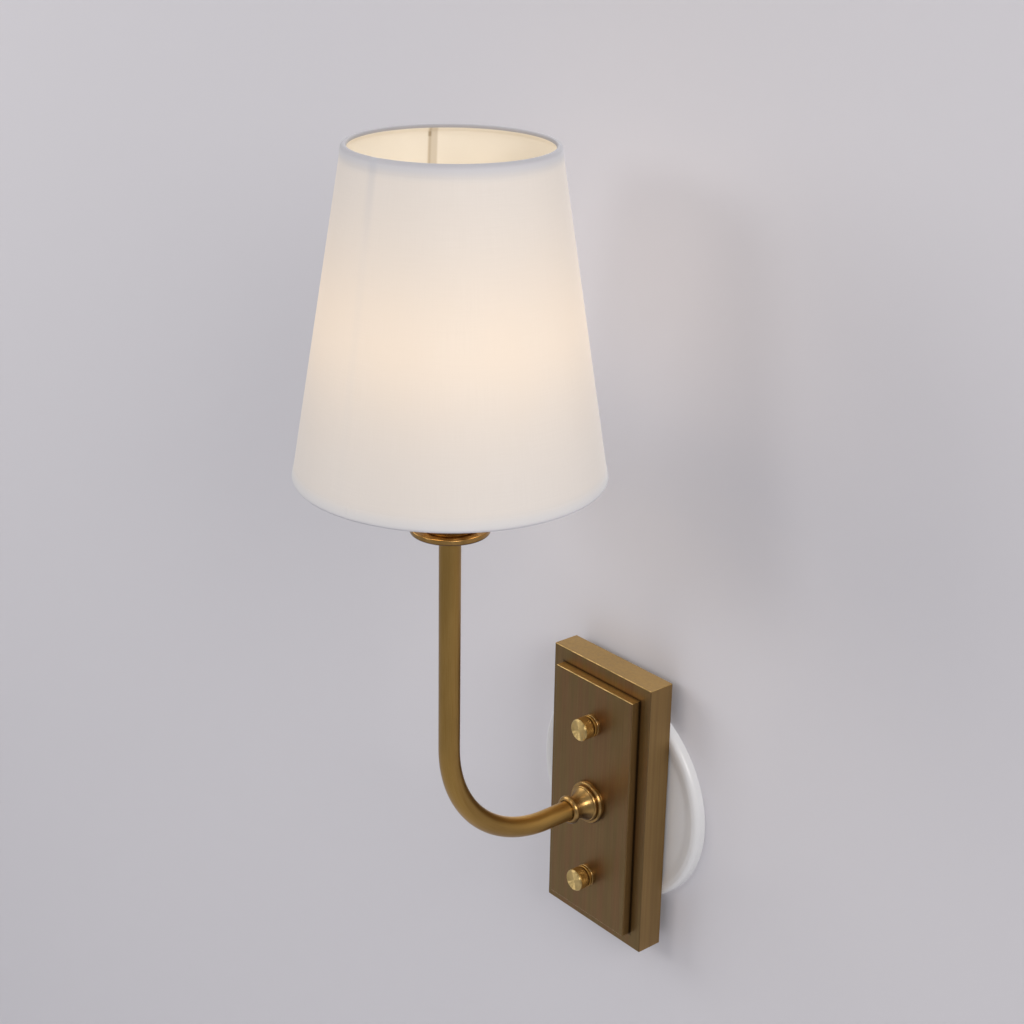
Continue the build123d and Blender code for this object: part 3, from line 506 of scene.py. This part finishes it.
def woven(look, azimuth, height):
    """A plain weave laid round the shade: a height for bump, and the yarns' uneven shade."""
    round_it = look.maths("MULTIPLY", azimuth, (linen_low_r + linen_high_r) / 2)
    warp = look.maths("SINE", look.maths("MULTIPLY", round_it, 2 * pi / thread))
    weft = look.maths("SINE", look.maths("MULTIPLY", height, 2 * pi / thread))
    flat = look.join(round_it, height, 0.0)
    across = look.grain(look.scaled(flat, 45, 1900, 1), detail=3, roughness=0.6)
    upright = look.grain(look.scaled(flat, 1900, 45, 1), detail=3, roughness=0.6)
    slubs = look.maths("MULTIPLY", look.maths("ADD", across, upright), 0.5)
    checks = look.maths("MULTIPLY", look.maths("MULTIPLY", warp, weft), 0.25)
    return look.maths("ADD", checks, slubs), slubs


def linen(name, lap_centre, folded=0.0):
    """Off-white linen with the bulb's light through it painted on as a glow and painted shade at the
    rims; folded is how far a strip reaches inside a rim.
    """
    look = Finish(name, Roughness=0.88, Sheen_Weight=0.12, Sheen_Roughness=0.5)
    radius, azimuth, height = round_the_lamp(look)
    weave, slubs = woven(look, azimuth, height)
    cloud = look.grain(look.place(), 30, 3)
    lap = strip_at(look, radius, azimuth, lap_centre, 0.0022, 0.0018)
    yarns = look.spread(slubs, 0.38, 0.62)
    colour = look.blend(yarns, (0.714, 0.666, 0.622), (0.734, 0.686, 0.642))
    colour = look.blend(look.spread(cloud, 0.35, 0.65, 0.0, 0.5), colour, (0.710, 0.660, 0.614))
    # Painted shade: greyer over the wires, where no light comes through, greyest on the rolled
    # edges, and greyer at the upper rim than at the lower.
    rim = look.maths("SUBTRACT", 1.0, clear_of_rims(look, height, 0.0005, 0.0080))
    top_rim = look.spread(height, 0.30, 0.34)
    rim_colour = look.blend(top_rim, (0.690, 0.668, 0.660), (0.590, 0.575, 0.596))
    rolled = look.spread(from_nearest_rim(look, height), *roll_fades, smooth=True)
    rolled_colour = look.blend(top_rim, (0.560, 0.543, 0.575), (0.450, 0.435, 0.458))
    rim_colour = look.blend(rolled, rim_colour, rolled_colour)
    colour = look.blend(look.maths("MULTIPLY", rim, 0.9), colour, rim_colour)
    # Painted shade on the lap, in the upper part of the shade.
    lap_shade = look.maths("MULTIPLY", lap, look.spread(height, *lap_shade_heights, 0.0, 0.40))
    colour = look.blend(lap_shade, colour, (0.52, 0.52, 0.545))
    past_lap = look.maths("SUBTRACT", 1.0, look.maths("MULTIPLY", lap, 0.07))
    glow = look.maths("MULTIPLY", glow_at(look, height, linen_glow), past_lap)
    glow = look.maths("MULTIPLY", glow, look.spread(cloud, 0.35, 0.65, 0.975, 1.025))
    glow = look.maths("MULTIPLY", glow, clear_of_rims(look, height, 0.0025, 0.0095))
    # Painted shade on the side of a folded strip that lies inside the shade.
    if folded:
        lean = look.maths("MULTIPLY", look.maths("SUBTRACT", height, fabric_low.z), shade_lean)
        inset = look.maths("SUBTRACT", look.maths("SUBTRACT", linen_low_r, lean), radius)
        inside = look.spread(inset, folded * 0.63, folded * 0.97, smooth=True)
        colour = look.blend(look.maths("MULTIPLY", inside, 0.85), colour, (0.330, 0.315, 0.325))
    return look.finish(
        colour,
        normal=look.bump(weave, 0.00004, 0.35),
        Emission_Color=light_through,
        Emission_Strength=glow,
    )


def liner_skin():
    """The white styrene inside, with the bulb's light on it painted on as a glow, its glued seam and
    a nick at its top.
    """
    look = Finish("liner")
    radius, azimuth, height = round_the_lamp(look)
    fine = look.grain(look.place(), 700, 3)
    cloud = look.grain(look.place(), 25, 3)
    seam = strip_at(look, radius, azimuth, liner_seam_azimuth, 0.0020, 0.0006)
    glue_azimuth = liner_seam_azimuth + glue_beside_seam
    glue = strip_at(look, radius, azimuth, glue_azimuth, 0.0007, 0.0006)
    colour = look.blend(look.spread(cloud, 0.35, 0.65), (0.675, 0.635, 0.56), (0.705, 0.665, 0.59))
    colour = look.blend(look.maths("MULTIPLY", seam, 0.75), colour, (0.56, 0.49, 0.39))
    colour = look.blend(look.maths("MULTIPLY", glue, 0.6), colour, (0.38, 0.30, 0.19))
    from_nick = look.maths("ABSOLUTE", look.maths("SUBTRACT", height, shade_top - 0.0048))
    nick = look.maths("MULTIPLY", glue, look.spread(from_nick, 0.0016, 0.0008))
    colour = look.blend(look.maths("MULTIPLY", nick, 0.8), colour, (0.22, 0.16, 0.09))
    glow = look.maths("ADD", glow_at(look, height, liner_glow), liner_glow_all_over)
    past_seam = look.maths("SUBTRACT", 1.0, look.maths("MULTIPLY", seam, 0.6))
    glow = look.maths("MULTIPLY", glow, past_seam)
    return look.finish(
        colour,
        look.spread(fine, 0.3, 0.7, 0.42, 0.54),
        look.bump(fine, 0.00003, 0.2),
        Emission_Color=(1.0, 0.79, 0.55),
        Emission_Strength=glow,
    )


# ================================================================ mesh helpers
def new_piece(name, points, faces, materials, body, crease=40):
    """A closed mesh with its normals turned out, riding on a body."""
    mesh = bpy.data.meshes.new(name)
    mesh.from_pydata(points, [], faces)
    work = bmesh.new()
    work.from_mesh(mesh)
    bmesh.ops.recalc_face_normals(work, faces=work.faces)
    work.to_mesh(mesh)
    work.free()
    mesh.shade_smooth()
    mesh.set_sharp_from_angle(angle=radians(crease))
    for material in materials:
        mesh.materials.append(material)
    piece = bpy.data.objects.new(name, mesh)
    bpy.context.scene.collection.objects.link(piece)
    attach(piece, body)
    return piece


def ring_faces(rows, columns, closed_rows=False):
    """Quads of a grid of rows by columns that closes round its columns."""
    faces = []
    for row in range(rows if closed_rows else rows - 1):
        following = (row + 1) % rows
        for column in range(columns):
            beside = (column + 1) % columns
            faces.append(
                (
                    row * columns + column,
                    row * columns + beside,
                    following * columns + beside,
                    following * columns + column,
                )
            )
    return faces


def soft_step(value, low, high):
    """0 below low, 1 above high, and an even curve between them."""
    share = min(1.0, max(0.0, (value - low) / (high - low)))
    return share * share * (3 - 2 * share)


def wrap(angle):
    """The angle brought to between minus and plus half a turn."""
    return (angle + pi) % (2 * pi) - pi


# ================================================================ shade
shade_columns = 288
lap_half = 0.0028  # half the width of a lap
lap_height = 0.00016
lap_fades = (0.335, 0.370)  # the heights between which the linen's lap comes to stand out


def shade_point(azimuth, radius, height):
    """A point round the lamp axis; azimuth 0 faces the room and grows to the right."""
    return Vector((radius * sin(azimuth), lamp.y - radius * cos(azimuth), height))


def azimuths_with(seam):
    """Even steps round the shade, with more of them at the edges of a lap."""
    steps = [2 * pi * index / shade_columns for index in range(shade_columns)]
    for edge in (-lap_half, lap_half):
        for nearby in (-0.0012, -0.0006, -0.0002, 0.0, 0.0002, 0.0006, 0.0012):
            steps.append((seam + (edge + nearby) / linen_low_r) % (2 * pi))
    return sorted(steps)


def lap_rise(azimuth, seam, radius):
    """How far a lap stands out: sharp at its cut edge, soft where it runs out."""
    along = wrap(azimuth - seam) * radius
    rise = lap_height * soft_step(along, -lap_half - 0.0005, -lap_half)
    return rise * (1 - soft_step(along, lap_half - 0.0008, lap_half + 0.0012))


def wrapped_sheet(name, outer, inner, seam, material, node, inwards=False, fades=None):
    """Cloth or styrene round the shade, as a thin closed shell with one lapped seam.

    outer and inner are its two sides as (radius, height), both from the same edge. The lap
    stands out of the inner one where inwards is true, and comes to do so over the heights in
    fades, if they are given.
    """
    azimuths = azimuths_with(seam)
    outline = outer + inner[::-1]
    points = []
    for row, (radius, height) in enumerate(outline):
        lapped = (row >= len(outer)) == inwards
        share = soft_step(height, *fades) if fades else 1.0
        for azimuth in azimuths:
            rise = lap_rise(azimuth, seam, radius) * share if lapped else 0.0
            points.append(shade_point(azimuth, radius - rise if inwards else radius + rise, height))
    faces = ring_faces(len(outline), len(azimuths), closed_rows=True)
    piece = new_piece(name, points, faces, [material], "shade")
    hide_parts(node)
    return piece


linen_thick = 0.0005
liner_inset = 0.00055
liner_thick = 0.0003
liner_drawn_in = 0.00245  # at the bottom, over the lower wire ring
drawn_in_fades = (0.0012, 0.012)  # the heights above its lower edge between which that ends
linen_rows = 25
liner_rows = 101


def cone_side(inset, rows, drawn_in=0.0):
    """One side of a wall layer, as (radius, height); drawn_in is how far its foot leans in."""
    side = []
    for row in range(rows):
        height = fabric_low.z + (fabric_high.z - fabric_low.z) * row / (rows - 1)
        lean_in = drawn_in * (1 - soft_step(height - fabric_low.z, *drawn_in_fades))
        side.append((linen_radius(height) - inset - lean_in, height))
    return side


linen_piece = wrapped_sheet(
    "linen_cover",
    cone_side(0.0, linen_rows),
    cone_side(linen_thick, linen_rows),
    seam_azimuth,
    linen("linen", seam_azimuth),
    "shade_fabric",
    fades=lap_fades,
)
liner_look = liner_skin()
liner_piece = wrapped_sheet(
    "liner_skin",
    cone_side(liner_inset, liner_rows, liner_drawn_in),
    cone_side(liner_inset + liner_thick, liner_rows, liner_drawn_in),
    liner_seam_azimuth,
    liner_look,
    "shade_liner",
    inwards=True,
)

# The strips folded over the rims: up outside, over the wire and down inside.
trim_out = 0.00024  # in front of the linen's face
trim_in = {"top": 0.0027, "bottom": 0.0035}  # its inner side, behind the linen's face
trim_cloth = 0.00028
trim_feather = 0.0002  # how much thinner its visible edge is
trim_drop = 0.0062  # its outer end, from the rim
roll_depth = 0.0016
roll_steps = 14
# Past the roll: how far behind the linen's face and how far from the rim. The upper strip
# comes back to lie on the liner.
past_roll = {
    "top": ((0.0025, 0.0021), (0.0017, 0.0030), (0.0012, 0.0036), (0.0012, 0.0052)),
    "bottom": ((0.0035, 0.0021), (0.0035, 0.0026)),
}


def folded_side(where, edge, towards_middle, sunk):
    """One side of a folded strip, as (radius, height), from its outer end to its inner end.

    sunk is how deep the side lies in the cloth, from the strip's outer face.
    """
    middle_inset = (trim_in[where] - trim_out) / 2
    half = (trim_in[where] + trim_out) / 2 - sunk
    side = [(max(sunk, trim_feather) - trim_out, trim_drop)]
    side.append((sunk - trim_out, (trim_drop + roll_depth) / 2))
    for step in range(roll_steps + 1):
        turn = pi * step / roll_steps
        side.append((middle_inset - half * cos(turn), roll_depth - (roll_depth - sunk) * sin(turn)))
    side += [(depth - sunk, drop) for depth, drop in past_roll[where]]
    heights = [(inset, edge + towards_middle * drop) for inset, drop in side]
    return [(linen_radius(height) - inset, height) for inset, height in heights]


for where, edge, towards_middle in (("top", shade_top, -1), ("bottom", shade_base, 1)):
    seam = trim_seam_azimuth[where]
    outer = folded_side(where, edge, towards_middle, 0.0)
    trim = wrapped_sheet(
        where + "_binding",
        outer,
        folded_side(where, edge, towards_middle, trim_cloth),
        seam,
        linen("linen_trim_" + where, seam, trim_in[where]),
        "shade_" + where + "_trim",
    )
    if where == "top":
        # What is tucked in against the liner, on both sides, looks like the liner.
        columns = len(azimuths_with(seam))
        tucked = len(past_roll[where])
        roll_end = len(outer) - 1 - tucked
        trim.data.materials.append(liner_look)
        for index, face in enumerate(trim.data.polygons):
            if roll_end <= index // columns <= roll_end + 2 * tucked:
                face.material_index = 1
    path = folded_side(where, edge, towards_middle, trim_cloth / 2)

# The wire in the upper rim, a little thinner than its CAD solid.
wire_r = 0.0007
below_trim = 0.0001  # the gap between the wire and the strip over it
off_liner = 0.00002  # and between the wire and the liner
wire_height = shade_top - trim_cloth - wire_r - below_trim
wire_turn = linen_radius(wire_height) - liner_inset - liner_thick - wire_r - off_liner
wire_sides = 16
wire_columns = shade_columns // 2
wire_points = []
for step in range(wire_sides):
    turned = 2 * pi * step / wire_sides
    reach = wire_turn + wire_r * cos(turned)
    height = wire_height + wire_r * sin(turned)
    for column in range(wire_columns):
        wire_points.append(shade_point(2 * pi * column / wire_columns, reach, height))
wire_faces = ring_faces(wire_sides, wire_columns, closed_rows=True)
powder = moulded("white_powder", (0.74, 0.74, 0.73), (0.80, 0.80, 0.79), 0.45)
upper_wire = new_piece(
    "upper_wire_ring", wire_points, wire_faces, [powder], "shade"
)
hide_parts("shade_top_ring")


# ================================================================ cap nuts
teeth = 44
tooth_columns = 4
knurl_depth = 0.00022
knurl_columns = teeth * tooth_columns
knurl_rows = 30
groove_faces = (6, 7)  # the rows of faces that line the groove
face_edge_rows = 4  # the rounded rows that count to the nut's face
nut_bore = 0.00214
nut_bore_depth = 0.0052


def ramp(value):
    """A wave from 1 to 0 and back with straight sides."""
    return abs(2 * (value - floor(value)) - 1)


def knurled_nut(where, side_brass, face_brass, groove_brass):
    """A cap nut: a diamond knurl, a groove between it and a flange, and a spun, hollow face."""
    node = where + "_cap_nut"
    low, high = corners(node)
    centre = (low + high) / 2
    full = (high.x - low.x) / 2
    front, back = low.y, high.y
    groove_r = full - 0.0009
    flange_front = back - 0.0016
    groove_front = flange_front - 0.0009
    flange_r = full - 0.00010
    outline = [
        (nut_bore, back - nut_bore_depth),
        (nut_bore, back),
        (flange_r - 0.00025, back),
        (flange_r, back - 0.00030),
        (flange_r, flange_front + 0.00030),
        (flange_r - 0.00030, flange_front),
        (groove_r, flange_front - 0.00005),
        (groove_r, groove_front),
        (full - 0.00030, groove_front),
    ]
    first_row = len(outline)
    knurl_start, knurl_end = groove_front - 0.0003, front + 0.0011
    for row in range(knurl_rows + 1):
        outline.append((full, knurl_start + (knurl_end - knurl_start) * row / knurl_rows))
    last_row = len(outline) - 1
    outline += [
        (full - 0.00012, front + 0.00080),
        (full - 0.00034, front + 0.00034),
        (full - 0.00064, front + 0.00008),
        (full - 0.00090, front),
        (full - 0.00120, front + 0.00006),
    ]
    face_row = len(outline) - 1
    outline += [(full * 0.62, front + 0.00026), (full * 0.30, front + 0.00044)]
    outline.append((0.0002, front + 0.00052))
    pitch = 2 * pi * full / teeth
    points = []
    for row, (radius, y) in enumerate(outline):
        for column in range(knurl_columns):
            angle = 2 * pi * column / knurl_columns
            reach = radius
            if first_row < row < last_row:
                round_it, along = column / tooth_columns, y / pitch
                height = min(ramp(round_it + along), ramp(round_it - along))
                reach -= knurl_depth * (1 - height)
            elif row in (first_row, last_row):
                reach -= knurl_depth
            points.append((-reach * sin(angle), y, centre.z + reach * cos(angle)))
    faces = ring_faces(len(outline), knurl_columns)
    last_ring = (len(outline) - 1) * knurl_columns
    faces.append(tuple(range(knurl_columns)))
    faces.append(tuple(range(last_ring, last_ring + knurl_columns)))
    metals = [side_brass, face_brass, groove_brass]
    name = where + "_knurled_nut"
    piece = new_piece(name, points, faces, metals, where + "_nut", 25)
    for index, face in enumerate(piece.data.polygons):
        row = index // knurl_columns
        if row >= face_row - face_edge_rows:
            face.material_index = 1
        # The groove's faces take the painted shade.
        elif row in groove_faces:
            face.material_index = 2
    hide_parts(node)


# ================================================================ assign and build
aged = plate_brass()
satin = tube_brass()
zinc_steel = zinc()
paint(enamel(), "wall_cover_disc")
paint(zinc_steel, "mounting_bracket", "bracket_studs", "stud_lock_nuts", "arm_nipple")
paint(zinc_steel, "ground_lug", "arm_lock_washer", "arm_lock_nut", "top_nipple", "socket_lock_nut")
paint(bare_metal("green_screw", (0.03, 0.22, 0.08), (0.06, 0.34, 0.14), 0.3), "ground_screw")
paint(aged, "back_plate", "front_plate")
paint(satin, "arm_tube")
cup_tones = (0.34, 0.192, 0.060), (0.45, 0.270, 0.090)
# The cup's colour for downward faces is painted shade.
cup_shade_below = (0.145, 0.082, 0.040)
cup_brass = spun_brass("cup_brass", "Z", cup_tones, 0.23, 0.8, lamp, 6000, cup_shade_below)
paint(cup_brass, "cup_disc")
collar_tones = (0.36, 0.210, 0.066), (0.47, 0.290, 0.105)
# The collar's colour for downward faces is painted shade.
collar_shade_below = (0.125, 0.074, 0.030)
paint(spun_brass("collar_brass", "Y", collar_tones, 0.29, 0.85, below=collar_shade_below), "arm_collar")
knurl_tones = (0.33, 0.176, 0.043), (0.42, 0.232, 0.060)
face_tones = (0.65, 0.465, 0.185), (0.77, 0.575, 0.250)
# The groove's tones are painted shade.
groove_shade_tones = (0.09, 0.05, 0.018), (0.14, 0.08, 0.03)
washer_tones = (0.34, 0.215, 0.080), (0.42, 0.27, 0.105)
for where in ("upper", "lower"):
    about = middle(where + "_cap_nut")
    side_brass = spun_brass(where + "_knurl", "Y", knurl_tones, 0.42, 0.0, about)
    face_brass = spun_brass(where + "_face", "Y", face_tones, 0.50, 0.96, about)
    groove_brass = spun_brass(where + "_groove", "Y", groove_shade_tones, 0.35, 0.0, about)
    knurled_nut(where, side_brass, face_brass, groove_brass)
    washer_brass = spun_brass(where + "_washer", "Y", washer_tones, 0.30, 0.2, about)
    paint(washer_brass, where + "_nut_washer")
phenolic = moulded("black_phenolic", (0.022, 0.018, 0.016), (0.035, 0.03, 0.027), 0.38)
paint(phenolic, "socket_body", "shade_clamp_ring")
socket_brass = bare_metal("socket_brass", (0.46, 0.30, 0.12), (0.56, 0.38, 0.17), 0.3)
paint(socket_brass, "socket_cap", "socket_screw_shell", "socket_contact", "socket_terminals")
paint(powder, "shade_fitter", "shade_bottom_ring")
paint(frosted_glass(), "bulb_glass")
paint(clear_glass(), "bulb_stem")
paint(light_sticks(), "bulb_filaments")
paint(bare_metal("nickel_shell", (0.60, 0.58, 0.54), (0.74, 0.72, 0.68), 0.2), "bulb_base")
paint(moulded("solder_tip", (0.03, 0.03, 0.035), (0.06, 0.06, 0.065), 0.25), "bulb_contact")
paint(moulded("black_insulation", (0.02, 0.02, 0.02), (0.04, 0.04, 0.04), 0.42), "line_wire")
paint(moulded("white_insulation", (0.72, 0.72, 0.68), (0.80, 0.80, 0.77), 0.42), "neutral_wire")
paint(bare_metal("copper", (0.60, 0.27, 0.15), (0.78, 0.42, 0.26), 0.28), "ground_wire")
paint(moulded("orange_plastic", (0.66, 0.20, 0.03), (0.78, 0.28, 0.05), 0.4), "wire_connectors")

# ================================================================ stage and lights
wall_gap = 0.0006  # between the disc's back and the wall
wall_half = 6.0
opening_r = 0.060  # of the hole in the wall, behind the disc
hole_steps = 96
floor_height = -0.85


def wall_finish():
    """A pale painted wall that only shows from the room's side."""
    look = Finish("stage_wall", (0.672, 0.650, 0.672), Roughness=0.9)
    through = look.node("ShaderNodeBsdfTransparent")
    mix = look.node("ShaderNodeMixShader")
    rays = look.node("ShaderNodeLightPath").outputs
    shown = look.maths("MAXIMUM", rays["Is Camera Ray"], rays["Is Glossy Ray"])
    shown = look.maths("MAXIMUM", shown, rays["Is Transmission Ray"])
    front = look.maths("SUBTRACT", 1.0, look.node("ShaderNodeNewGeometry").outputs["Backfacing"])
    look.link(look.maths("MULTIPLY", shown, front), mix.inputs[0])
    look.link(through.outputs[0], mix.inputs[1])
    look.link(look.shader.outputs[0], mix.inputs[2])
    look.link(mix.outputs[0], look.tree.nodes["Material Output"].inputs["Surface"])
    return look.material


def stage_mesh(name, points, faces, material):
    mesh = bpy.data.meshes.new(name)
    mesh.from_pydata(points, [], faces)
    mesh.materials.append(material)
    piece = bpy.data.objects.new(name, mesh)
    bpy.context.scene.collection.objects.link(piece)


wall_points = []
for far in (False, True):
    for step in range(hole_steps):
        angle = 2 * pi * step / hole_steps
        reach = wall_half / max(abs(cos(angle)), abs(sin(angle))) if far else opening_r
        wall_points.append((-reach * cos(angle), wall_gap, reach * sin(angle)))
stage_mesh("stage_wall", wall_points, ring_faces(2, hole_steps), wall_finish())
floor_look = Finish("stage_floor", (0.60, 0.60, 0.62), Roughness=0.9)
floor_points = [
    (-wall_half, -wall_half, floor_height),
    (wall_half, -wall_half, floor_height),
    (wall_half, wall_half, floor_height),
    (-wall_half, wall_half, floor_height),
]
stage_mesh("stage_floor", floor_points, [(0, 1, 2, 3)], floor_look.material)


def area_lamp(name, at, aim, size, watts, colour):
    """A round lamp that looks at a point."""
    data = bpy.data.lights.new(name, "AREA")
    data.shape = "DISK"
    data.size = size
    data.energy = watts
    data.color = colour
    piece = bpy.data.objects.new(name, data)
    piece.location = at
    piece.rotation_euler = (Vector(aim) - Vector(at)).to_track_quat("-Z", "Y").to_euler()
    bpy.context.scene.collection.objects.link(piece)
    return piece


aim = (0.0, -0.08, 0.15)
area_lamp("key_lamp", (1.7, -0.6, 1.1), aim, 0.9, 20.0, (1.0, 0.98, 0.96))
area_lamp("fill_lamp", (-1.5, -1.1, 0.8), aim, 1.2, 9.0, (1.0, 0.975, 0.94))
area_lamp("front_lamp", (-0.35, -1.9, 1.0), aim, 0.5, 4.0, (1.0, 0.99, 0.97))
# The bulb's light downwards out of the shade, from beside it.
beside_bulb = 0.036
bulb_lamp_height = 0.250
for where, off in (("wall", beside_bulb), ("room", -beside_bulb)):
    at = (0.0, lamp.y + off, bulb_lamp_height)
    straight_down = (0.0, lamp.y + off, 0.0)
    warm = (1.0, 0.80, 0.55)
    glow_lamp = area_lamp(where + "_side_of_bulb", at, straight_down, 0.030, 0.015, warm)
    glow_lamp.visible_camera = False
area_lamp("back_lamp", (-0.9, 1.4, 0.9), aim, 1.0, 14.0, (1.0, 1.0, 1.0))

world = bpy.data.worlds.new("studio")
world.use_nodes = True
bpy.context.scene.world = world
air = Nodes(world.node_tree)
sky = world.node_tree.nodes["Background"]
sky.inputs["Color"].default_value = (0.62, 0.63, 0.67, 1)
towards = air.node("ShaderNodeTexCoord").outputs["Generated"]
rising = air.spread(air.split(towards)[2], -0.6, 0.4, 0.38, 0.90, smooth=True)
# A little darker on the room's side, to the right, as a room is behind the one who looks.
room_side = (0.707, -0.707, 0.0)
along_room_side = air.node("ShaderNodeVectorMath", operation="DOT_PRODUCT")
air.link(towards, along_room_side.inputs[0])
along_room_side.inputs[1].default_value = room_side
dimmed = air.spread(along_room_side.outputs["Value"], 0.35, 0.95, 1.06, 0.62, smooth=True)
air.link(air.maths("MULTIPLY", rising, dimmed), sky.inputs["Strength"])
bpy.context.scene.view_settings.view_transform = "Standard"
